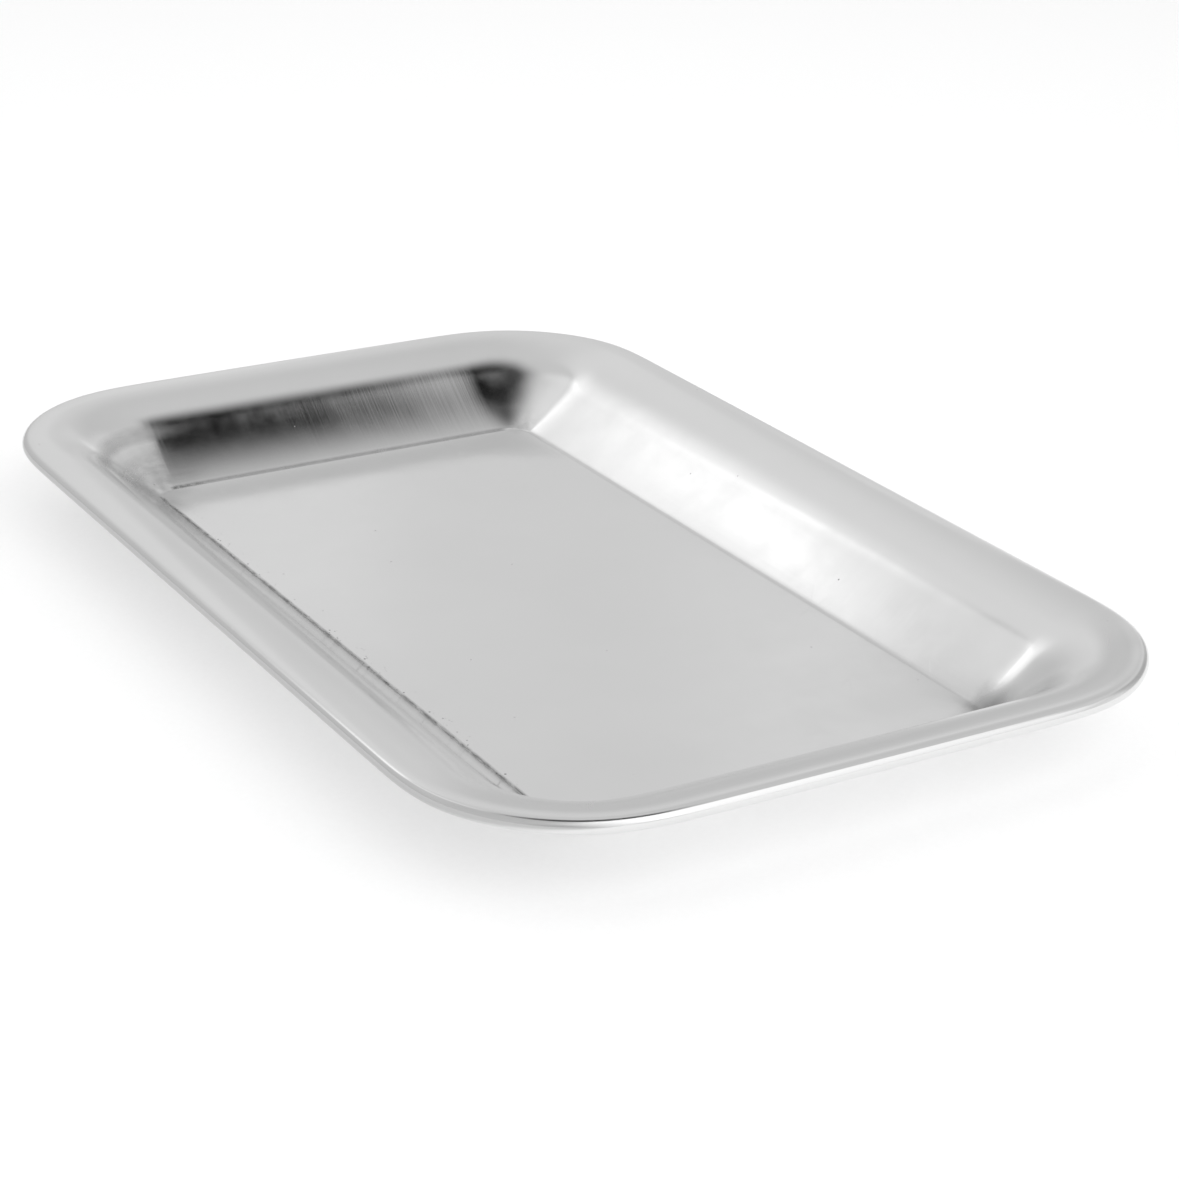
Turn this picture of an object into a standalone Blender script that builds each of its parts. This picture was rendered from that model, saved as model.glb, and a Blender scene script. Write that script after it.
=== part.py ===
"""Developing tray: a shallow rectangular tray pressed from one sheet of stainless steel.

The flat floor turns up into a flared wall, the wall rolls over into a broad shoulder, and the
sheet's edge is curled under all round as a hollow bead. Metres, +Z up. The origin is under the
middle of the tray, on the plane that its floor stands on, and +X runs along its length.
"""
import math

import bmesh
import bpy

# Overall size, outside the bead
LENGTH = 0.240
WIDTH = 0.150
HEIGHT = 0.0158

# Sheet and plan
SHEET_THICKNESS = 0.0006
FLOOR_CORNER_RADIUS = 0.0050
SHORT_SIDE_BOW = 0.0006

# Wall, measured on the sheet's middle surface; angles are from the horizontal. The long sides
# have the fuller wall, and each corner passes from one wall to the other
FOOT_RADIUS = 0.0015
STEEPEST_ANGLE = math.radians(42.0)
SHORT_SIDE_FOOT_ANGLE = math.radians(31.7)
SHORT_SIDE_SHOULDER_RADIUS = 0.0218
LONG_SIDE_FOOT_ANGLE = math.radians(36.3)
LONG_SIDE_SHOULDER_RADIUS = 0.0246

# Bead: the sheet's edge, curled outwards, down and under
BEAD_OUTER_RADIUS = 0.0015
BEAD_CURL_ANGLE = math.radians(250.0)

# Fineness of the faceting
CORNER_STEPS = 10
SHORT_SIDE_STEPS = 6
FOOT_STEPS = 3
LOWER_WALL_STEPS = 4
SHOULDER_STEPS = 7
BEAD_STEPS = 14
SHARP_EDGE_ANGLE = math.radians(40.0)

STEEL_COLOR = (0.78, 0.78, 0.78, 1.0)
STEEL_ROUGHNESS = 0.24


def clear_scene():
    """Remove every object that the file opened with."""
    for scene_object in list(bpy.data.objects):
        bpy.data.objects.remove(scene_object, do_unlink=True)


def lower_wall_radius(foot_angle, shoulder_radius):
    """Radius of the hollow part of the wall that fills the rise between foot and shoulder."""
    rise = HEIGHT - SHEET_THICKNESS
    foot_rise = FOOT_RADIUS * (1.0 - math.cos(foot_angle))
    shoulder_rise = shoulder_radius * (1.0 - math.cos(STEEPEST_ANGLE))
    return (rise - foot_rise - shoulder_rise) / (math.cos(foot_angle) - math.cos(STEEPEST_ANGLE))


def wall_stations(foot_angle, shoulder_radius):
    """Walk up the wall's middle surface and round the bead.

    Each station is (run, rise, heading): how far it lies outside the floor's edge, its height,
    and the direction that the sheet runs in there.
    """
    bend_radius = BEAD_OUTER_RADIUS - SHEET_THICKNESS / 2.0
    hollow_turn = STEEPEST_ANGLE - foot_angle
    bends = (
        (FOOT_RADIUS, foot_angle, FOOT_STEPS),
        (lower_wall_radius(foot_angle, shoulder_radius), hollow_turn, LOWER_WALL_STEPS),
        (shoulder_radius, -STEEPEST_ANGLE, SHOULDER_STEPS),
        (bend_radius, -BEAD_CURL_ANGLE, BEAD_STEPS),
    )
    run, rise, heading = 0.0, SHEET_THICKNESS / 2.0, 0.0
    stations = [(run, rise, heading)]
    for radius, turn, steps in bends:
        step_turn = turn / steps
        chord = 2.0 * radius * math.sin(abs(step_turn) / 2.0)
        for _ in range(steps):
            run += chord * math.cos(heading + step_turn / 2.0)
            rise += chord * math.sin(heading + step_turn / 2.0)
            heading += step_turn
            stations.append((run, rise, heading))
    return stations


def sheet_profile(foot_angle, shoulder_radius):
    """Closed outline of the sheet's section: up its inside, round its edge and back beneath."""
    half = SHEET_THICKNESS / 2.0
    inside = []
    beneath = []
    for run, rise, heading in wall_stations(foot_angle, shoulder_radius):
        across = (-math.sin(heading) * half, math.cos(heading) * half)
        inside.append((run + across[0], rise + across[1]))
        beneath.append((run - across[0], rise - across[1]))
    return inside + beneath[::-1]


def plan_points():
    """Where the wall stands in plan, anticlockwise, as (corner signs, place along, direction).

    The place along runs from 1 at one corner's centre to -1 at the next one's, across a short side.
    """
    points = []
    for corner, signs in enumerate(((1, 1), (-1, 1), (-1, -1), (1, -1))):
        for step in range(CORNER_STEPS + 1):
            angle = (corner + step / CORNER_STEPS) * math.pi / 2.0
            points.append((signs, 1.0, (math.cos(angle), math.sin(angle))))
        if signs[0] * signs[1] < 0:
            for step in range(1, SHORT_SIDE_STEPS):
                share = 1.0 - 2.0 * step / SHORT_SIDE_STEPS
                points.append((signs, share, (signs[0], 0.0)))
    return points


def sheet_ring(short_place, long_place, short_reach, long_reach):
    """One ring of the sheet, from its (run, rise) on a short side and on a long side.

    The corners are round about fixed centres. The short sides bow outwards in step with the run,
    and the floor's own edge is straight.
    """
    centre_x = LENGTH / 2.0 - SHORT_SIDE_BOW - short_reach - FLOOR_CORNER_RADIUS
    centre_y = WIDTH / 2.0 - long_reach - FLOOR_CORNER_RADIUS
    half_width = centre_y + FLOOR_CORNER_RADIUS + long_place[0]
    bow = SHORT_SIDE_BOW * short_place[0] / short_reach
    ring = []
    for (sign_x, sign_y), along, (out_x, out_y) in plan_points():
        long_share = out_y ** 2
        run = short_place[0] + (long_place[0] - short_place[0]) * long_share
        rise = short_place[1] + (long_place[1] - short_place[1]) * long_share
        x = sign_x * centre_x + out_x * (FLOOR_CORNER_RADIUS + run)
        y = sign_y * centre_y * along + out_y * (FLOOR_CORNER_RADIUS + run)
        x += math.copysign(bow, x) * (1.0 - (y / half_width) ** 2)
        ring.append((x, y, rise))
    return ring


def build_pan():
    """Sweep the sheet's section round the plan and close the floor inside and beneath."""
    short_wall = sheet_profile(SHORT_SIDE_FOOT_ANGLE, SHORT_SIDE_SHOULDER_RADIUS)
    long_wall = sheet_profile(LONG_SIDE_FOOT_ANGLE, LONG_SIDE_SHOULDER_RADIUS)
    short_reach = max(run for run, _ in short_wall)
    long_reach = max(run for run, _ in long_wall)
    sheet = bmesh.new()
    rings = []
    for short_place, long_place in zip(short_wall, long_wall):
        places = sheet_ring(short_place, long_place, short_reach, long_reach)
        rings.append([sheet.verts.new(place) for place in places])
    for inner, outer in zip(rings, rings[1:]):
        for index, vertex in enumerate(inner):
            following = (index + 1) % len(inner)
            sheet.faces.new((vertex, outer[index], outer[following], inner[following]))
    sheet.faces.new(rings[0])
    sheet.faces.new(rings[-1][::-1])
    mesh = bpy.data.meshes.new("tray_pan")
    sheet.to_mesh(mesh)
    sheet.free()
    mesh.shade_smooth()
    mesh.set_sharp_from_angle(angle=SHARP_EDGE_ANGLE)
    pan = bpy.data.objects.new("tray_pan", mesh)
    bpy.context.scene.collection.objects.link(pan)
    return pan


def steel_material():
    """Satin-polished stainless steel."""
    material = bpy.data.materials.new("polished_steel")
    material.use_nodes = True
    shader = material.node_tree.nodes["Principled BSDF"]
    shader.inputs["Base Color"].default_value = STEEL_COLOR
    shader.inputs["Metallic"].default_value = 1.0
    shader.inputs["Roughness"].default_value = STEEL_ROUGHNESS
    return material


def main():
    """Build the tray and give it its material."""
    clear_scene()
    pan = build_pan()
    pan.data.materials.append(steel_material())


main()
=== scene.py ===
"""Looks of a developing tray: one sheet of stainless steel, pressed, on a pale table.

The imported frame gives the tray's overall size. The pan is drawn again here as one fine sheet on
the same lines as the frame's pan, and finished as bare polished steel. Lengths are in metres.
"""

import logging
import math
from dataclasses import dataclass, field
from enum import Enum
from typing import Any, Dict, List, Optional, Sequence, Tuple, Union

import bpy
from mathutils import Matrix, Vector


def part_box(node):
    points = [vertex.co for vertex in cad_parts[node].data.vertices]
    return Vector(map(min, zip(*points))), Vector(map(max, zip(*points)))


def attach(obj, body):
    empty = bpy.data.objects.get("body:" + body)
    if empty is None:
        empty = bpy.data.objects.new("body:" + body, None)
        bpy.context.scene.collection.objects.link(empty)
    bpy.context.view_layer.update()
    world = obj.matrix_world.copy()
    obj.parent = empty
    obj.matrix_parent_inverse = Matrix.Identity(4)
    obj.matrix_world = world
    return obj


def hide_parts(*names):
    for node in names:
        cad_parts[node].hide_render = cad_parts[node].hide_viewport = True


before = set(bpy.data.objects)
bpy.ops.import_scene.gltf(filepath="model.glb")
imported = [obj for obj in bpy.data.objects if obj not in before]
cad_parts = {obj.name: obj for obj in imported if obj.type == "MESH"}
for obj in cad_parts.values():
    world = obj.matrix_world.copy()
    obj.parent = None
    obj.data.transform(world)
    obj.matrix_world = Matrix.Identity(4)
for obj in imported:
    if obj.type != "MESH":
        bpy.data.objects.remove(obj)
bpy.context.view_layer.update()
LOG = logging.getLogger("developing_tray")

# Point attribute that carries each point's place on the rim and its way up the sheet
PLACE_ATTRIBUTE = "sheet_place"
MERGE_DISTANCE = 1e-6

Socket = bpy.types.NodeSocket
Operand = Union[Socket, float, int]


class Bend(Enum):
    """The four bends that the sheet makes between the flat floor and its own edge."""

    FOOT = "foot"
    LOWER_WALL = "lower wall"
    SHOULDER = "shoulder"
    BEAD = "bead"


@dataclass
class TreeBuilder:
    """Adds nodes to one node tree and wires them, so that a formula reads like a formula."""

    tree: bpy.types.NodeTree

    def node(self, kind: str, **settings: Any) -> bpy.types.Node:
        """Add a node.

        Args:
            kind: the node's type name.
            settings: node properties to set.

        Returns:
            The new node.
        """
        made = self.tree.nodes.new(kind)
        for name, value in settings.items():
            setattr(made, name, value)
        return made

    def feed(self, target: Socket, source: Any) -> None:
        """Link a socket into an input, or set the input's own value.

        Args:
            target: the input socket.
            source: a socket to link, or a plain value.
        """
        if isinstance(source, bpy.types.NodeSocket):
            self.tree.links.new(source, target)
        else:
            target.default_value = source

    def call(self, kind: str, inputs: Dict[Any, Any], output: Any = 0,
             **settings: Any) -> Socket:
        """Add a node, feed its inputs and give one output.

        Args:
            kind: the node's type name.
            inputs: input name or index to socket or value.
            output: name or index of the output to give back.
            settings: node properties to set.

        Returns:
            The output socket.
        """
        made = self.node(kind, **settings)
        for name, source in inputs.items():
            self.feed(made.inputs[name], source)
        return made.outputs[output]

    def math(self, operation: str, *operands: Operand) -> Socket:
        """Add one Math node.

        Args:
            operation: its operation name.
            operands: up to three sockets or numbers.

        Returns:
            The result.
        """
        return self.call("ShaderNodeMath", dict(enumerate(operands)), operation=operation)

    def add(self, *terms: Operand) -> Socket:
        """Sum of two or more terms."""
        total = terms[0]
        for term in terms[1:]:
            total = self.math("ADD", total, term)
        return total

    def multiply(self, *factors: Operand) -> Socket:
        """Product of two or more factors."""
        product = factors[0]
        for factor in factors[1:]:
            product = self.math("MULTIPLY", product, factor)
        return product

    def subtract(self, left: Operand, right: Operand) -> Socket:
        """Left less right."""
        return self.math("SUBTRACT", left, right)

    def divide(self, left: Operand, right: Operand) -> Socket:
        """Left over right."""
        return self.math("DIVIDE", left, right)

    def clamp(self, value: Operand, low: Operand, high: Operand) -> Socket:
        """Value kept between low and high."""
        return self.math("MINIMUM", self.math("MAXIMUM", value, low), high)

    def mix(self, share: Operand, low: Operand, high: Operand) -> Socket:
        """Low where share is 0, high where it is 1."""
        return self.call("ShaderNodeMix", {0: share, 2: low, 3: high}, data_type="FLOAT")

    def grey(self, tone: Operand) -> Socket:
        """Neutral colour of one tone."""
        return self.call("ShaderNodeCombineColor", {0: tone, 1: tone, 2: tone})

    def noise(self, vector: Socket, scale: float = 1.0, detail: float = 2.0,
              roughness: float = 0.5) -> Socket:
        """Value of a noise texture, about 0.5 on average."""
        inputs = {"Vector": vector, "Scale": scale, "Detail": detail, "Roughness": roughness}
        return self.call("ShaderNodeTexNoise", inputs, "Fac")

    def combine(self, x: Operand, y: Operand, z: Operand) -> Socket:
        """Vector of three numbers."""
        return self.call("ShaderNodeCombineXYZ", {0: x, 1: y, 2: z})

    def separate(self, vector: Socket) -> Tuple[Socket, Socket, Socket]:
        """X, Y and Z of a vector."""
        made = self.node("ShaderNodeSeparateXYZ")
        self.feed(made.inputs[0], vector)
        return made.outputs[0], made.outputs[1], made.outputs[2]

    def step(self, value: Operand, start: Operand, end: Operand) -> Socket:
        """Smooth rise from 0 where value is start to 1 where it is end."""
        inputs = {"Value": value, "From Min": start, "From Max": end}
        return self.call("ShaderNodeMapRange", inputs, "Result", interpolation_type="SMOOTHSTEP")

    def band(self, value: Operand, reach: "Band") -> Socket:
        """1 inside a band and 0 outside it, with a smooth rise and fall."""
        return self.multiply(self.step(value, reach.start, reach.full),
                             self.step(value, reach.end, reach.fade))

    def span(self, value: Operand, low: Operand, high: Operand, low_end: Operand,
             high_end: Operand) -> Socket:
        """Linear change from one range of numbers to another, held at its ends."""
        inputs = {"Value": value, "From Min": low, "From Max": high,
                  "To Min": low_end, "To Max": high_end}
        return self.call("ShaderNodeMapRange", inputs, "Result")

    def turned(self, x: Operand, y: Operand, degrees: float) -> Tuple[Socket, Socket]:
        """Places along and across an axis that is turned from X by some degrees."""
        cosine, sine = math.cos(math.radians(degrees)), math.sin(math.radians(degrees))
        return (self.add(self.multiply(x, cosine), self.multiply(y, sine)),
                self.subtract(self.multiply(y, cosine), self.multiply(x, sine)))

    def highest(self, *values: Operand) -> Socket:
        """Largest of two or more values."""
        found = values[0]
        for value in values[1:]:
            found = self.math("MAXIMUM", found, value)
        return found

    def less(self, value: Operand, loss: Operand, share: Operand = 1.0) -> Socket:
        """Value darkened by a mask, by up to a share of itself."""
        return self.multiply(value, self.subtract(1.0, self.multiply(loss, share)))


@dataclass(frozen=True)
class Band:
    """A soft-edged stretch of a measure.

    Attributes:
        start: where it begins to rise from 0.
        full: where it reaches 1.
        fade: where it begins to fall.
        end: where it is 0 again.
    """

    start: float
    full: float
    fade: float
    end: float


def new_group(name: str, kind: str, inputs: Sequence[Tuple[str, str]],
              outputs: Sequence[Tuple[str, str]]) \
        -> Tuple[TreeBuilder, Dict[str, Socket], bpy.types.Node]:
    """Start a node group with named sockets.

    Args:
        name: the group's name.
        kind: "ShaderNodeTree" or "GeometryNodeTree".
        inputs: (name, socket type) of each input.
        outputs: (name, socket type) of each output.

    Returns:
        The builder, the group's inputs by name, and its output node.
    """
    tree = bpy.data.node_groups.new(name, kind)
    for label, socket_type in inputs:
        tree.interface.new_socket(name=label, in_out="INPUT", socket_type=socket_type)
    for label, socket_type in outputs:
        tree.interface.new_socket(name=label, in_out="OUTPUT", socket_type=socket_type)
    builder = TreeBuilder(tree)
    entry = builder.node("NodeGroupInput")
    given = {label: entry.outputs[label] for label, _ in inputs}
    return builder, given, builder.node("NodeGroupOutput")


@dataclass(frozen=True)
class BendSize:
    """One bend of the sheet's middle surface.

    Attributes:
        radius: its radius, in metres.
        turn: how far it turns, in radians, upwards positive.
        steps: how many flats stand for it.
    """

    radius: float
    turn: float
    steps: int


@dataclass(frozen=True)
class WallSection:
    """The wall's section on one pair of sides, on the sheet's middle surface.

    Attributes:
        foot_angle: slope that the foot bend reaches.
        shoulder_radius: radius of the broad bend under the rim.
    """

    foot_angle: float
    shoulder_radius: float


@dataclass(frozen=True)
class SectionPlace:
    """Where one station of a section lies: sockets for its run, rise and length along the sheet."""

    run: Socket
    rise: Socket
    along: Socket


@dataclass
class TrayPan:
    """The pan: flat floor, flared wall, broad shoulder and the curled edge, as one thin sheet.

    Attributes:
        length: overall length, outside the bead.
        width: overall width.
        height: overall height.
        material: its finish.
        sheet: the sheet's thickness.
        floor_corner_radius: radius of the flat floor's corners.
        corner_ease: the length over which a straight side passes into its corner.
        short_side_bow: how far the short sides bow outwards at the rim.
        foot_radius: radius of the bend where the floor turns up.
        steepest_angle: the wall's steepest slope.
        short_side: the section of the short sides.
        long_side: the section of the long sides.
        bead_outer_radius: outer radius of the curled edge.
        bead_curl_angle: how far the edge curls.
        floor_rings: how many rings of faces the floor has.
        steps_round: how many faces go round the tray.
        corner_points: how many points the path round the rim has in each corner.
        steps: how many flats stand for each bend.
    """

    length: float
    width: float
    height: float
    material: Optional[bpy.types.Material] = None
    sheet: float = 0.0006
    floor_corner_radius: float = 0.0050
    corner_ease: float = 0.018
    short_side_bow: float = 0.0006
    foot_radius: float = 0.0015
    steepest_angle: float = math.radians(42.0)
    short_side: WallSection = WallSection(math.radians(31.7), 0.0218)
    long_side: WallSection = WallSection(math.radians(36.3), 0.0246)
    bead_outer_radius: float = 0.0015
    bead_curl_angle: float = math.radians(250.0)
    floor_rings: int = 6
    steps_round: int = 440
    corner_points: int = 64
    steps: Dict[Bend, int] = field(default_factory=lambda: {
        Bend.FOOT: 8, Bend.LOWER_WALL: 16, Bend.SHOULDER: 22, Bend.BEAD: 28})

    def bends(self, wall: WallSection) -> List[BendSize]:
        """The bends in order, from the floor to the sheet's edge.

        The hollow lower wall gets the radius that fills the rise that the other bends leave.

        Args:
            wall: the section that they belong to.

        Returns:
            Foot, lower wall, shoulder and bead.
        """
        rise = self.height - self.sheet
        foot_rise = self.foot_radius * (1.0 - math.cos(wall.foot_angle))
        shoulder_rise = wall.shoulder_radius * (1.0 - math.cos(self.steepest_angle))
        spread = math.cos(wall.foot_angle) - math.cos(self.steepest_angle)
        hollow_radius = (rise - foot_rise - shoulder_rise) / spread
        bead_radius = self.bead_outer_radius - self.sheet / 2.0
        return [
            BendSize(self.foot_radius, wall.foot_angle, self.steps[Bend.FOOT]),
            BendSize(hollow_radius, self.steepest_angle - wall.foot_angle,
                     self.steps[Bend.LOWER_WALL]),
            BendSize(wall.shoulder_radius, -self.steepest_angle, self.steps[Bend.SHOULDER]),
            BendSize(bead_radius, -self.bead_curl_angle, self.steps[Bend.BEAD]),
        ]

    def reach(self, wall: WallSection) -> float:
        """How far the tray's outside lies beyond the edge of its floor on one pair of sides."""
        run = 0.0
        heading = 0.0
        for bend in self.bends(wall)[:3]:
            side = math.copysign(1.0, bend.turn)
            run += side * bend.radius * (math.sin(heading + bend.turn) - math.sin(heading))
            heading += bend.turn
        return run + self.bead_outer_radius

    def floor_half(self) -> Tuple[float, float]:
        """Half the length and half the width of the flat floor."""
        return (self.length / 2.0 - self.short_side_bow - self.reach(self.short_side),
                self.width / 2.0 - self.reach(self.long_side))

    def bend_group(self) -> bpy.types.NodeTree:
        """Node group that gives one bend's share of the run, the rise and the heading at a station.

        Returns:
            The group, with Run, Rise, Turned and Along outputs.
        """
        number = "NodeSocketFloat"
        names = ("Station", "First Station", "Stations", "Radius", "Start Heading", "Turn")
        b, given, out = new_group("sheet_bend", "GeometryNodeTree", [(n, number) for n in names],
                                  [(n, number) for n in ("Run", "Rise", "Turned", "Along")])
        passed = b.subtract(given["Station"], given["First Station"])
        share = b.clamp(b.divide(passed, given["Stations"]), 0.0, 1.0)
        turned = b.multiply(share, given["Turn"])
        heading = b.add(given["Start Heading"], turned)
        signed = b.multiply(given["Radius"], b.math("SIGN", given["Turn"]))
        outward = b.subtract(b.math("SINE", heading), b.math("SINE", given["Start Heading"]))
        upward = b.subtract(b.math("COSINE", given["Start Heading"]), b.math("COSINE", heading))
        b.feed(out.inputs["Run"], b.multiply(signed, outward))
        b.feed(out.inputs["Rise"], b.multiply(signed, upward))
        b.feed(out.inputs["Turned"], turned)
        b.feed(out.inputs["Along"], b.multiply(signed, turned))
        return b.tree

    def place_on_section(self, b: TreeBuilder, group: bpy.types.NodeTree, wall: WallSection,
                         station: Socket, half: Socket, sheet: Socket) -> SectionPlace:
        """Place a station on one wall's section, on the inside or beneath.

        Args:
            b: builder of the pan's tree.
            group: the bend group.
            wall: the section.
            station: the station's number, from the tray's middle outwards.
            half: half the sheet's thickness, negative beneath.
            sheet: the sheet's thickness.

        Returns:
            Its place.
        """
        shares: Dict[str, List[Socket]] = {"Run": [], "Rise": [], "Turned": [], "Along": []}
        first = float(self.floor_rings)
        heading = 0.0
        for bend in self.bends(wall):
            part = b.node("GeometryNodeGroup", node_tree=group)
            values = (station, first, float(bend.steps), bend.radius, heading, bend.turn)
            for socket, value in zip(part.inputs, values):
                b.feed(socket, value)
            for name, found in shares.items():
                found.append(part.outputs[name])
            first += bend.steps
            heading += bend.turn
        direction = b.add(*shares["Turned"])
        run = b.subtract(b.add(*shares["Run"]), b.multiply(half, b.math("SINE", direction)))
        rise = b.add(b.add(*shares["Rise"]), b.multiply(half, b.math("COSINE", direction)),
                     b.multiply(sheet, 0.5))
        return SectionPlace(run, rise, b.add(*shares["Along"]))

    def hub(self, b: TreeBuilder, rim: Socket, centre: Socket, ease: Socket) -> Socket:
        """Place on the line of centres that a rim point is measured from, along one axis.

        Args:
            b: builder of the pan's tree.
            rim: the rim point's place along the axis.
            centre: the corner centre's place along it.
            ease: the length over which a straight side passes into its corner.

        Returns:
            The place, which stays at the corner's centre past it.
        """
        held = b.math("SMOOTH_MIN", b.math("ABSOLUTE", rim), centre, ease)
        return b.multiply(held, b.math("SIGN", rim))

    def tree(self) -> bpy.types.NodeTree:
        """Geometry Nodes tree of the pan.

        A grid is wrapped round the tray: its columns go round the rim and its rows follow the
        sheet's section, out along the inside, round the edge, and back beneath.

        Returns:
            The tree.
        """
        names = ("Length", "Width", "Sheet", "Short Side Reach", "Long Side Reach",
                 "Floor Corner Radius", "Corner Ease", "Short Side Bow")
        inputs = [(n, "NodeSocketFloat") for n in names] + [("Steel", "NodeSocketMaterial")]
        b, given, out = new_group("pan_surface", "GeometryNodeTree", inputs,
                                  [("Geometry", "NodeSocketGeometry")])
        stations = self.floor_rings + sum(bend.steps for bend in self.bends(self.long_side)) + 1
        rows = 2 * stations
        grid = b.call("GeometryNodeMeshGrid",
                      {"Vertices X": self.steps_round + 1, "Vertices Y": rows}, "Mesh")
        index = b.call("GeometryNodeInputIndex", {})
        column = b.math("FLOOR", b.divide(b.add(index, 0.5), float(rows)))
        row = b.subtract(index, b.multiply(column, float(rows)))
        station = b.math("MINIMUM", row, b.subtract(rows - 1.0, row))
        beneath = b.math("GREATER_THAN", row, stations - 0.5)
        side = b.subtract(1.0, b.multiply(beneath, 2.0))
        half = b.multiply(side, given["Sheet"], 0.5)

        # The path round the rim, and the way outwards from it
        outer_x = b.subtract(b.multiply(given["Length"], 0.5), given["Short Side Bow"])
        outer_y = b.multiply(given["Width"], 0.5)
        corner_radius = given["Floor Corner Radius"]
        centre_x = b.subtract(outer_x, b.add(corner_radius, given["Short Side Reach"]))
        centre_y = b.subtract(outer_y, b.add(corner_radius, given["Long Side Reach"]))
        rim_radius = b.add(corner_radius, given["Long Side Reach"])
        rectangle = b.call("GeometryNodeCurvePrimitiveQuadrilateral",
                           {"Width": b.multiply(b.add(centre_x, rim_radius), 2.0),
                            "Height": b.multiply(b.add(centre_y, rim_radius), 2.0)})
        rim = b.call("GeometryNodeFilletCurve",
                     {"Curve": rectangle, "Count": self.corner_points, "Radius": rim_radius},
                     mode="POLY")
        way_round = b.divide(column, float(self.steps_round))
        sampled = b.call("GeometryNodeSampleCurve", {"Curves": rim, "Factor": way_round},
                         "Position", mode="FACTOR")
        rim_x, rim_y, _ = b.separate(sampled)
        hub_x = self.hub(b, rim_x, centre_x, given["Corner Ease"])
        hub_y = self.hub(b, rim_y, centre_y, given["Corner Ease"])
        from_hub = b.combine(b.subtract(rim_x, hub_x), b.subtract(rim_y, hub_y), 0.0)
        outward = b.call("ShaderNodeVectorMath", {0: from_hub}, operation="NORMALIZE")
        out_x, out_y, _ = b.separate(outward)

        # The two sections, blended through the corners
        group = self.bend_group()
        short, full = (self.place_on_section(b, group, wall, station, half, given["Sheet"])
                       for wall in (self.short_side, self.long_side))
        share = b.multiply(out_y, out_y)
        run = b.mix(share, short.run, full.run)
        rise = b.mix(share, short.rise, full.rise)
        along = b.mix(share, short.along, full.along)

        # Place in plan; the floor's rings shrink towards its middle
        radius = b.add(corner_radius, run)
        scale = b.clamp(b.divide(station, float(self.floor_rings)), 0.0, 1.0)
        edge_x = b.add(hub_x, b.multiply(out_x, radius))
        edge_y = b.add(hub_y, b.multiply(out_y, radius))
        flat_x, flat_y = b.multiply(edge_x, scale), b.multiply(edge_y, scale)
        half_width = b.add(centre_y, corner_radius, full.run)
        across = b.divide(flat_y, half_width)
        bow_share = b.multiply(b.divide(short.run, given["Short Side Reach"]),
                               b.subtract(1.0, b.multiply(across, across)))
        bow = b.multiply(given["Short Side Bow"], bow_share, b.math("SIGN", flat_x))
        position = b.combine(b.add(flat_x, bow), flat_y, rise)
        placed = b.call("GeometryNodeSetPosition", {"Geometry": grid, "Position": position})

        # Each point keeps its place on the rim and its way up the sheet from the floor's edge
        to_edge = b.add(b.multiply(edge_x, out_x), b.multiply(edge_y, out_y))
        way = b.add(along, b.multiply(b.subtract(scale, 1.0), to_edge))
        kept = b.call("GeometryNodeStoreNamedAttribute",
                      {"Geometry": placed, "Name": PLACE_ATTRIBUTE,
                       "Value": b.combine(rim_x, rim_y, way)},
                      data_type="FLOAT_VECTOR", domain="POINT")
        merged = b.call("GeometryNodeMergeByDistance",
                        {"Geometry": kept, "Distance": MERGE_DISTANCE})
        outward_faces = b.call("GeometryNodeFlipFaces", {"Mesh": merged})
        smooth = b.call("GeometryNodeSetShadeSmooth", {0: outward_faces, "Shade Smooth": True})
        real = b.call("GeometryNodeRealizeInstances", {"Geometry": smooth})
        dressed = b.call("GeometryNodeSetMaterial",
                         {"Geometry": real, "Material": given["Steel"]})
        b.feed(out.inputs["Geometry"], dressed)
        return b.tree

    def build(self) -> bpy.types.Object:
        """Make the pan's plain mesh from its tree and let it stand for the frame's pan.

        Returns:
            The finished piece.
        """
        values = {
            "Length": self.length,
            "Width": self.width,
            "Sheet": self.sheet,
            "Short Side Reach": self.reach(self.short_side),
            "Long Side Reach": self.reach(self.long_side),
            "Floor Corner Radius": self.floor_corner_radius,
            "Corner Ease": self.corner_ease,
            "Short Side Bow": self.short_side_bow,
            "Steel": self.material,
        }
        pan = plain_mesh("pressed_pan", self.tree(), values)
        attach(pan, "root")
        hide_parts("tray_pan")
        return pan


def plain_mesh(name: str, tree: bpy.types.NodeTree, values: Dict[str, Any]) -> bpy.types.Object:
    """Run a Geometry Nodes tree once and keep its result as a plain mesh object.

    Args:
        name: name of the new object.
        tree: the tree to run.
        values: input name to value.

    Returns:
        The object, with no modifier left on it.
    """
    host = bpy.data.objects.new(name, bpy.data.meshes.new(name + "_host"))
    bpy.context.scene.collection.objects.link(host)
    modifier = host.modifiers.new("tree", "NODES")
    modifier.node_group = tree
    for item in tree.interface.items_tree:
        if item.item_type == "SOCKET" and item.in_out == "INPUT":
            modifier[item.identifier] = values[item.name]
    graph = bpy.context.evaluated_depsgraph_get()
    mesh = bpy.data.meshes.new_from_object(
        host.evaluated_get(graph), preserve_all_data_layers=True, depsgraph=graph)
    host.modifiers.remove(modifier)
    spare = host.data
    host.data = mesh
    bpy.data.meshes.remove(spare)
    mesh.name = name
    return host


@dataclass(frozen=True)
class Specks:
    """One kind of scattered speck.

    Attributes:
        cells_per_metre: how fine the cells are.
        share: how many of the cells hold a speck, from 0 to 1.
        size: the largest speck's radius, as a share of a cell.
    """

    cells_per_metre: float
    share: float
    size: float


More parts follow.
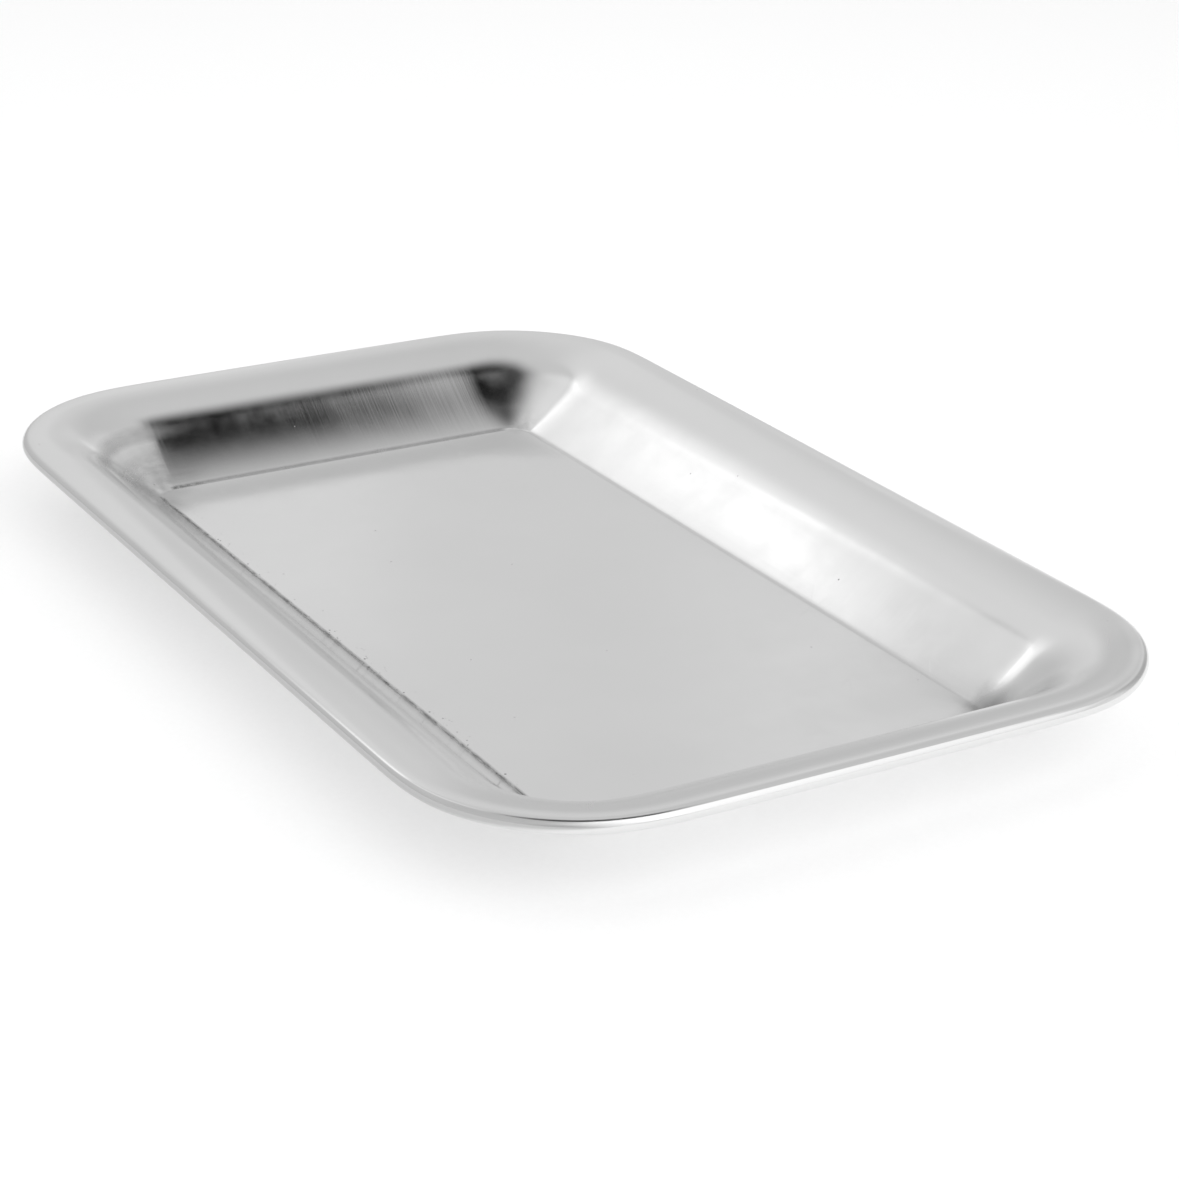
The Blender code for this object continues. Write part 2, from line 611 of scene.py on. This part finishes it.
class SharedEffects:
    """Shader node groups that more than one finish uses, each built once."""

    def __init__(self) -> None:
        """Build the groups."""
        self.specks = self.speck_group()

    def speck_group(self) -> bpy.types.NodeTree:
        """Group that scatters small round specks, at most one in each cell.

        Returns:
            The group, with a Mask output.
        """
        b, given, out = new_group(
            "scattered_specks", "ShaderNodeTree",
            [("Vector", "NodeSocketVector"), ("Cells per Metre", "NodeSocketFloat"),
             ("Share of Cells", "NodeSocketFloat"), ("Size", "NodeSocketFloat")],
            [("Mask", "NodeSocketFloat")])
        cells = b.node("ShaderNodeTexVoronoi", feature="F1")
        b.feed(cells.inputs["Vector"], given["Vector"])
        b.feed(cells.inputs["Scale"], given["Cells per Metre"])
        first, second, _ = b.separate(cells.outputs["Color"])
        smallest, core = 0.35, 0.6
        size = b.multiply(given["Size"], b.span(second, 0.0, 1.0, smallest, 1.0))
        spot = b.step(cells.outputs["Distance"], size, b.multiply(size, core))
        chosen = b.math("LESS_THAN", first, given["Share of Cells"])
        b.feed(out.inputs["Mask"], b.multiply(spot, chosen))
        return b.tree

    def add_specks(self, b: TreeBuilder, vector: Socket, kind: "Specks") -> Socket:
        """Place the speck group in a material.

        Args:
            b: builder of the material's tree.
            vector: coordinates in metres.
            kind: how many specks there are and how large.

        Returns:
            Its mask.
        """
        group = b.node("ShaderNodeGroup", node_tree=self.specks)
        values = {"Vector": vector, "Cells per Metre": kind.cells_per_metre,
                  "Share of Cells": kind.share, "Size": kind.size}
        for name, value in values.items():
            b.feed(group.inputs[name], value)
        return group.outputs["Mask"]


@dataclass(frozen=True)
class SheetPlace:
    """Sockets for where a point of the steel lies.

    Attributes:
        x: place along the tray.
        y: place across the tray.
        rim_x: place of the nearest rim point along the tray.
        rim_y: the same, across it.
        way: way up the sheet from the floor's edge, negative on the floor.
        corner: how far into a corner, 0 along the sides and 1 on its diagonal.
        near_side: 1 on the near long side, which has the most wear and the most painted shade.
        smudges: a fine noise.
    """

    x: Socket
    y: Socket
    rim_x: Socket
    rim_y: Socket
    way: Socket
    corner: Socket
    near_side: Socket
    smudges: Socket

    def along_rim(self, b: TreeBuilder, per_metre: float, per_metre_up: float) -> Socket:
        """Coordinates that run round the rim and up the sheet, at their own scales."""
        return b.combine(b.multiply(self.rim_x, per_metre), b.multiply(self.rim_y, per_metre),
                         b.multiply(self.way, per_metre_up))


@dataclass(frozen=True)
class PolishedSteel:
    """Bare stainless steel, mill-rolled along the tray, pressed, and worn with use.

    Its colour also holds painted shade and painted dark reflections.

    Depths are in metres. Bands are measured on the way up the sheet from the floor's edge, and
    edges are (where a mask is 0, where it is 1) along or across the tray.
    """

    tone: float = 0.82
    tone_spread: float = 0.012
    roughness: float = 0.115
    roughness_spread: float = 0.035
    shade_and_grime_roughness: float = 0.35
    scratch_roughness: float = 0.06
    corner_roughness: float = 0.09
    speck_roughness: float = 0.60
    grain_depth: float = 3.5e-6
    draw_mark_depth: float = 1.3e-6
    ripple_depth: float = 2.4e-5
    corner_ripple_depth: float = 1.6e-4
    scratch_depth: float = 6e-7
    dust: Specks = Specks(230.0, 0.26, 0.070)
    dust_shade: float = 0.18
    pits: Specks = Specks(1100.0, 0.45, 0.32)
    pit_shade: float = 0.62
    corner_margin: float = 0.005
    wall_edge: Tuple[float, float] = (0.0015, 0.0070)
    steep_band: Band = Band(0.0020, 0.0060, 0.0160, 0.0210)
    near_side_edge: Tuple[float, float] = (-0.030, -0.042)
    pit_band: Band = Band(-0.0040, -0.0005, 0.0010, 0.0045)
    patch_ends: Tuple[float, float] = (0.074, 0.090)
    patch_sides: Tuple[float, float] = (0.036, 0.045)
    patch_band: Band = Band(-0.0065, -0.0005, 0.0010, 0.0100)
    patch_shade: Tuple[float, float] = (0.14, 0.60)
    foot_shade: float = 0.42
    near_foot_shade: float = 0.735
    far_foot_shade: float = 0.14
    foot_band: Band = Band(-0.0007, 0.0002, 0.0006, 0.0016)
    corner_shade_band: Band = Band(-0.0050, 0.0, 0.0005, 0.0075)
    corner_shade_amount: float = 0.30
    wall_reflection_shade: float = 0.30
    reflection_edge: Tuple[float, float] = (0.02, -0.085)
    reflection_top: Tuple[float, float] = (0.0080, 0.0150)
    turn_over_band: Band = Band(0.0128, 0.0150, 0.0165, 0.0190)
    turn_over_shade: float = 0.26
    end_band: Band = Band(0.0240, 0.0275, 0.0300, 0.0322)
    end_edge: Tuple[float, float] = (0.086, 0.104)
    end_shade: float = 0.14

    def material(self, effects: SharedEffects,
                 floor_half: Tuple[float, float]) -> bpy.types.Material:
        """Build the material.

        Args:
            effects: the shared node groups.
            floor_half: half the length and width of the tray's flat floor.

        Returns:
            The material.
        """
        steel = bpy.data.materials.new("polished_steel")
        steel.use_nodes = True
        b = TreeBuilder(steel.node_tree)
        shader = steel.node_tree.nodes["Principled BSDF"]
        object_place = b.call("ShaderNodeTexCoord", {}, "Object")
        at = self.sheet_place(b, object_place, floor_half)
        wall = b.step(at.way, *self.wall_edge)
        scratches = b.less(self.scratches(b, at), b.band(at.way, self.steep_band))
        b.feed(shader.inputs["Normal"], self.bump(b, at, object_place, wall, scratches))

        # Dust, pits, and the painted shade, painted dark reflections and corner stains that darken
        # the steel
        dust = effects.add_specks(b, object_place, self.dust)
        pits = effects.add_specks(b, object_place, self.pits)
        shade_and_grime = self.shade_and_grime(b, at)
        foot = b.multiply(b.band(at.way, self.pit_band), at.near_side)
        pit_places = b.highest(foot, self.corner_patch(b, at, -1.0))
        pitted = b.multiply(pits, pit_places, b.step(at.smudges, 0.36, 0.52))
        mottle = b.noise(object_place, 24.0, 6.0, 0.6)

        shade = b.span(mottle, 0.3, 0.7, self.tone - self.tone_spread, self.tone + self.tone_spread)
        shade = b.less(shade, shade_and_grime)
        # Painted shade and painted dark reflections, with stains, darken the steel's colour
        shade = b.less(shade, pitted, self.pit_shade)
        shade = b.less(shade, dust, self.dust_shade)
        b.feed(shader.inputs["Base Color"], b.grey(shade))

        rough = b.add(b.span(at.smudges, 0.35, 0.68, self.roughness - self.roughness_spread,
                             self.roughness + self.roughness_spread),
                      b.multiply(shade_and_grime, self.shade_and_grime_roughness),
                      b.multiply(scratches, self.scratch_roughness),
                      b.multiply(at.corner, wall, self.corner_roughness))
        rough = b.mix(b.highest(dust, pitted), rough, self.speck_roughness)
        b.feed(shader.inputs["Roughness"], rough)
        shader.inputs["Metallic"].default_value = 1.0
        return steel

    def sheet_place(self, b: TreeBuilder, object_place: Socket,
                    floor_half: Tuple[float, float]) -> SheetPlace:
        """Work out where a point of the steel lies.

        Args:
            b: builder of the material's tree.
            object_place: object coordinates.
            floor_half: half the length and width of the tray's flat floor.

        Returns:
            Its place.
        """
        x, y, _ = b.separate(object_place)
        rim_x, rim_y, way = b.separate(
            b.call("ShaderNodeAttribute", {}, "Vector", attribute_name=PLACE_ATTRIBUTE))
        past_x, past_y = (
            b.highest(b.subtract(b.math("ABSOLUTE", value), half - self.corner_margin), 0.0)
            for value, half in zip((x, y), floor_half))
        past = b.add(b.multiply(past_x, past_x), b.multiply(past_y, past_y), 1e-8)
        corner = b.divide(b.multiply(past_x, past_y, 2.0), past)
        return SheetPlace(x, y, rim_x, rim_y, way, corner, b.step(y, *self.near_side_edge),
                          b.noise(object_place, 55.0, 5.0, 0.65))

    def bump(self, b: TreeBuilder, at: SheetPlace, object_place: Socket, wall: Socket,
             scratches: Socket) -> Socket:
        """Rolling grain along the tray, draw marks up its walls, ripples and scratches.

        Args:
            b: builder of the material's tree.
            at: where the point lies.
            object_place: object coordinates.
            wall: 1 on the wall.
            scratches: mask of the scratches.

        Returns:
            The normal.
        """
        grain = b.noise(b.combine(b.multiply(at.x, 30.0), b.multiply(at.y, 1500.0), 0.0),
                        detail=2.0, roughness=0.6)
        marks = b.noise(at.along_rim(b, 950.0, 35.0), detail=2.0, roughness=0.6)
        ripple = b.noise(object_place, 85.0, 1.0)
        height = b.add(
            b.multiply(grain, self.grain_depth),
            b.multiply(marks, wall, self.draw_mark_depth),
            b.multiply(ripple, self.ripple_depth),
            b.multiply(ripple, at.corner, wall, self.corner_ripple_depth),
            b.multiply(scratches, -self.scratch_depth))
        return b.call("ShaderNodeBump", {"Height": height, "Distance": 1.0, "Strength": 1.0},
                      "Normal")

    def corner_patch(self, b: TreeBuilder, at: SheetPlace, side: float) -> Socket:
        """Soft patch round one corner of the floor.

        Args:
            b: builder of the material's tree.
            at: where the point lies.
            side: 1 for the corner towards +X and +Y, -1 for the one opposite.

        Returns:
            Its mask.
        """
        return b.multiply(b.step(b.multiply(at.x, side), *self.patch_ends),
                          b.step(b.multiply(at.y, side), *self.patch_sides),
                          b.band(at.way, self.patch_band))

    def shade_and_grime(self, b: TreeBuilder, at: SheetPlace) -> Socket:
        """Darkening: painted shade in the foot and the floor corners, painted dark reflections on
        the near wall and inside one end's bead, and stains in two floor corners.

        Args:
            b: builder of the material's tree.
            at: where the point lies.

        Returns:
            The darkening, from 0 to 1.
        """
        # Painted shade: a darker line in the foot bend, strongest on the near long side
        patchy = b.noise(b.combine(at.rim_x, at.rim_y, b.multiply(at.way, 3.0)), 420.0, 3.0, 0.7)
        on_long_side = b.step(b.math("ABSOLUTE", at.y), 0.040, 0.043)
        weight = b.mix(on_long_side, self.foot_shade, self.far_foot_shade)
        weight = b.mix(at.near_side, weight, self.near_foot_shade)
        patchiness = b.span(patchy, 0.35, 0.60, b.mix(at.near_side, 0.8, 0.45), 1.0)
        line = b.multiply(b.band(at.way, self.foot_band), weight, patchiness,
                          b.step(at.corner, 0.75, 0.15))

        # Painted shade in every floor corner, and heavier stained patches in two of them
        corner_shade = b.multiply(b.band(at.way, self.corner_shade_band), b.step(at.corner, 0.1, 0.8),
                           b.step(at.smudges, 0.40, 0.62), self.corner_shade_amount)
        patches = b.highest(self.corner_patch(b, at, -1.0), self.corner_patch(b, at, 1.0))
        patch = b.multiply(patches, b.span(at.smudges, 0.38, 0.60, *self.patch_shade))

        # A painted dark reflection up the near wall, broader and darker towards one end
        towards_end = b.step(at.x, *self.reflection_edge)
        top = b.span(towards_end, 0.0, 1.0, *self.reflection_top)
        reflected_band = b.multiply(b.step(at.way, 0.0005, 0.0030),
                             b.step(at.way, top, b.multiply(top, 0.45)))
        streaks = b.noise(at.along_rim(b, 60.0, 420.0), detail=3.0, roughness=0.6)
        wall_reflection = b.multiply(reflected_band, at.near_side, b.span(towards_end, 0.0, 1.0, 0.45, 1.0),
                           b.span(streaks, 0.35, 0.62, 0.45, 1.0), self.wall_reflection_shade)

        # A painted dark reflection where the near wall turns over into its shoulder, and a band of
        # painted shade inside one end's bead
        turn_over = b.multiply(b.band(at.way, self.turn_over_band), at.near_side,
                               b.span(streaks, 0.35, 0.62, 0.7, 1.0), self.turn_over_shade)
        end = b.multiply(b.band(at.way, self.end_band), b.step(at.x, *self.end_edge),
                         self.end_shade)
        return b.highest(line, corner_shade, patch, wall_reflection, turn_over, end)

    def scratches(self, b: TreeBuilder, at: SheetPlace) -> Socket:
        """Sparse hairline scratches from handling, as thin lines of equal noise.

        Args:
            b: builder of the material's tree.
            at: where the point lies.

        Returns:
            Their mask.
        """
        found: Union[Socket, float] = 0.0
        for degrees, offset in ((24.0, 3.0), (-38.0, 11.0), (81.0, 27.0)):
            run, across = b.turned(at.x, at.y, degrees)
            waves = b.noise(b.combine(b.multiply(run, 22.0), b.multiply(across, 260.0), offset),
                            detail=0.0)
            line = b.step(b.math("ABSOLUTE", b.subtract(waves, 0.5)), 0.012, 0.003)
            places = b.noise(b.combine(b.multiply(run, 70.0), b.multiply(across, 120.0),
                                       offset + 5.0), detail=1.0)
            found = b.highest(found, b.multiply(line, b.step(places, 0.60, 0.66)))
        return found


@dataclass(frozen=True)
class MattTable:
    """The pale table top that the tray stands on."""

    tone: float = 0.93
    tone_spread: float = 0.006
    fibres: Specks = Specks(160.0, 0.10, 0.05)
    fibre_shade: float = 0.02
    mirrored_loss: float = 0.38
    reflected_shade_edge: Tuple[float, float] = (-0.060, -0.085)
    roughness: float = 0.9

    def material(self, effects: SharedEffects) -> bpy.types.Material:
        """Build the material.

        Args:
            effects: the shared node groups.

        Returns:
            The material.
        """
        table = bpy.data.materials.new("matt_table")
        table.use_nodes = True
        b = TreeBuilder(table.node_tree)
        shader = table.node_tree.nodes["Principled BSDF"]
        place = b.call("ShaderNodeTexCoord", {}, "Object")
        grain = b.noise(place, 900.0, 3.0)
        fibres = effects.add_specks(b, place, self.fibres)
        tone = b.span(grain, 0.3, 0.7, self.tone - self.tone_spread, self.tone + self.tone_spread)
        tone = b.less(tone, fibres, self.fibre_shade)

        # Mirrored in the steel, the table is darker on one side: a painted dark reflection
        _, y, _ = b.separate(place)
        mirrored = b.call("ShaderNodeLightPath", {}, "Is Glossy Ray")
        reflected_shade = b.multiply(mirrored, b.step(y, *self.reflected_shade_edge))
        tone = b.less(tone, reflected_shade, self.mirrored_loss)
        b.feed(shader.inputs["Base Color"], b.grey(tone))
        shader.inputs["Roughness"].default_value = self.roughness
        return table


@dataclass(frozen=True)
class SoftPanel:
    """A soft-edged rectangle of one brightness in the room, in degrees from straight overhead.

    Attributes:
        centre: its middle, towards +X and +Y.
        half: half its sides.
        turn: how far it is turned, in degrees.
        soft: half the width of its soft edges, along each of its sides.
        radiance: its brightness.
    """

    centre: Tuple[float, float]
    half: Tuple[float, float]
    turn: float
    soft: Tuple[float, float]
    radiance: float


@dataclass
class Studio:
    """Camera, table and soft light.

    Attributes:
        length: the tray's length.
        effects: the shared node groups.
        room_radiance: brightness of the room straight overhead.
        horizon_change: how much that changes down to the horizon.
        lamp_size: how wide the fill lamps are.
        lamp_height: how high they hang.
        table_lengths: how far the table reaches, in lengths of the tray.
        table_drop: the gap that keeps the table clear of the tray's underside.
        azimuth: the camera's angle round the tray, from -Y towards +X.
        elevation: its angle above the table.
        roll: how far it is turned about its own axis.
        distance_lengths: its distance from what it looks at, in lengths of the tray.
        target_lengths: what it looks at, along and across the tray, in the same.
        lens: its focal length, in millimetres.
        sensor_width: its sensor's width, in millimetres.
        panels: the soft panels in the room; a later one covers an earlier one.
    """

    length: float
    effects: SharedEffects
    room_radiance: float = 0.713
    horizon_change: float = -0.161
    lamp_size: float = 1.6
    lamp_height: float = 1.5
    table_lengths: float = 12.0
    table_drop: float = 0.0002
    azimuth: float = math.radians(59.544)
    elevation: float = math.radians(22.741)
    roll: float = math.radians(0.869)
    distance_lengths: float = 2.2854
    target_lengths: Tuple[float, float] = (0.1286, -0.0251)
    lens: float = 87.94
    sensor_width: float = 36.0
    panels: Tuple[SoftPanel, ...] = (
        SoftPanel((8.0, -0.9), (11.2, 26.2), -8.0, (9.7, 2.5), 0.00),
        SoftPanel((-51.5, -10.6), (3.9, 12.1), -9.8, (2.0, 11.3), 1.54),
        SoftPanel((50.6, 18.0), (32.2, 29.3), 8.4, (0.5, 37.0), 1.38),
        SoftPanel((-59.6, 55.1), (7.8, 19.8), -1.4, (0.7, 2.5), 0.95),
        SoftPanel((-29.6, -24.5), (19.0, 5.5), -11.0, (4.5, 2.2), 0.86),
        SoftPanel((-18.1, 70.9), (19.9, 16.1), 1.8, (7.5, 2.7), 0.46),
        SoftPanel((60.8, -52.7), (11.3, 17.4), 0.5, (7.7, 8.0), 0.48),
        SoftPanel((-57.0, 19.8), (12.3, 34.0), 27.1, (13.1, 1.7), 0.79),
        SoftPanel((-33.5, 53.9), (20.2, 6.2), -1.5, (4.2, 3.5), 0.73),
        SoftPanel((84.0, -3.5), (10.1, 14.1), 1.9, (4.8, 11.8), 0.96),
        SoftPanel((9.3, -45.3), (31.3, 23.6), 15.6, (10.5, 6.2), 0.55),
        SoftPanel((-68.8, 44.7), (11.9, 8.4), -32.9, (24.1, 1.7), 0.63),
        SoftPanel((6.3, 45.6), (21.8, 6.3), -5.6, (4.0, 0.9), 0.70),
        SoftPanel((37.1, 75.6), (19.9, 11.2), -2.3, (6.4, 4.0), 0.83),
        SoftPanel((-88.2, 29.7), (14.0, 3.6), -6.9, (7.8, 25.7), 0.71),
    )

    def build_world(self) -> None:
        """Give the room an even light with the panels in it."""
        world = bpy.data.worlds.new("studio")
        world.use_nodes = True
        bpy.context.scene.world = world
        b = TreeBuilder(world.node_tree)
        x, y, z = b.separate(b.call("ShaderNodeTexCoord", {}, "Generated"))
        tilt = b.multiply(b.math("ARCCOSINE", z), 180.0 / math.pi)
        level = b.math("SQRT", b.add(b.multiply(x, x), b.multiply(y, y), 1e-9))
        degrees_x = b.multiply(b.divide(x, level), tilt)
        degrees_y = b.multiply(b.divide(y, level), tilt)
        radiance = b.add(b.multiply(tilt, self.horizon_change / 90.0), self.room_radiance)
        for panel in self.panels:
            off_x = b.subtract(degrees_x, panel.centre[0])
            off_y = b.subtract(degrees_y, panel.centre[1])
            inside = b.multiply(*(
                b.step(b.math("ABSOLUTE", off), half + soft, half - soft)
                for off, half, soft in zip(b.turned(off_x, off_y, panel.turn), panel.half,
                                           panel.soft)))
            radiance = b.mix(inside, radiance, panel.radiance)
        b.feed(world.node_tree.nodes["Background"].inputs["Color"], b.grey(radiance))

    def build_fill(self) -> None:
        """Add overhead fills that brighten the table and don't mirror in the steel.

        The stronger one casts no shadow, so that the tray's own shadow stays faint.
        """
        for name, energy, casts_shadow in (("table_fill", 12.8, False), ("table_shade", 1.2, True)):
            lamp = bpy.data.lights.new(name, "AREA")
            lamp.shape = "DISK"
            lamp.size = self.lamp_size
            lamp.energy = energy
            lamp.use_shadow = casts_shadow
            lamp.cycles.cast_shadow = casts_shadow
            fill = bpy.data.objects.new(name, lamp)
            fill.location = (0.0, 0.0, self.lamp_height)
            fill.visible_camera = False
            fill.visible_glossy = False
            bpy.context.scene.collection.objects.link(fill)

    def build_table(self) -> None:
        """Lay the table top just under the tray."""
        half = self.table_lengths * self.length
        mesh = bpy.data.meshes.new("table_top")
        signs = ((-1, -1), (1, -1), (1, 1), (-1, 1))
        mesh.from_pydata([(x * half, y * half, -self.table_drop) for x, y in signs], [],
                         [(0, 1, 2, 3)])
        mesh.materials.append(MattTable().material(self.effects))
        table = bpy.data.objects.new("table_top", mesh)
        bpy.context.scene.collection.objects.link(table)

    def build_camera(self, rim_height: float) -> None:
        """Set up the camera that looks down across the tray's near corner."""
        level = Vector((math.cos(self.azimuth), math.sin(self.azimuth), 0.0))
        across = Vector((level.y, -level.x, 0.0))
        back = across * math.cos(self.elevation) + Vector((0.0, 0.0, math.sin(self.elevation)))
        upright = back.cross(level)
        right = math.cos(self.roll) * level + math.sin(self.roll) * upright
        up = math.cos(self.roll) * upright - math.sin(self.roll) * level
        target = Vector((self.target_lengths[0] * self.length,
                         self.target_lengths[1] * self.length, rim_height))
        place = target + back * self.distance_lengths * self.length
        lens = bpy.data.cameras.new("camera")
        lens.lens = self.lens
        lens.sensor_width = self.sensor_width
        lens.clip_start = 0.01
        camera = bpy.data.objects.new("camera", lens)
        camera.matrix_world = Matrix((
            (right.x, up.x, back.x, place.x), (right.y, up.y, back.y, place.y),
            (right.z, up.z, back.z, place.z), (0.0, 0.0, 0.0, 1.0)))
        bpy.context.scene.collection.objects.link(camera)
        bpy.context.scene.camera = camera


def main() -> None:
    """Build the tray and the studio, and report each piece."""
    logging.basicConfig(level=logging.INFO, format="%(name)s: %(message)s")
    low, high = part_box("tray_pan")
    size = high - low
    effects = SharedEffects()
    pan = TrayPan(size.x, size.y, size.z)
    pan.material = PolishedSteel().material(effects, pan.floor_half())
    piece = pan.build()
    LOG.info("%s: %d faces, floor %.4f x %.4f m", piece.name, len(piece.data.polygons),
             2.0 * pan.floor_half()[0], 2.0 * pan.floor_half()[1])
    studio = Studio(size.x, effects)
    studio.build_world()
    studio.build_fill()
    studio.build_table()
    studio.build_camera(size.z - pan.bead_outer_radius)
    bpy.context.scene.view_settings.view_transform = "Standard"
    LOG.info("studio ready")


if __name__ == "__main__":
    main()
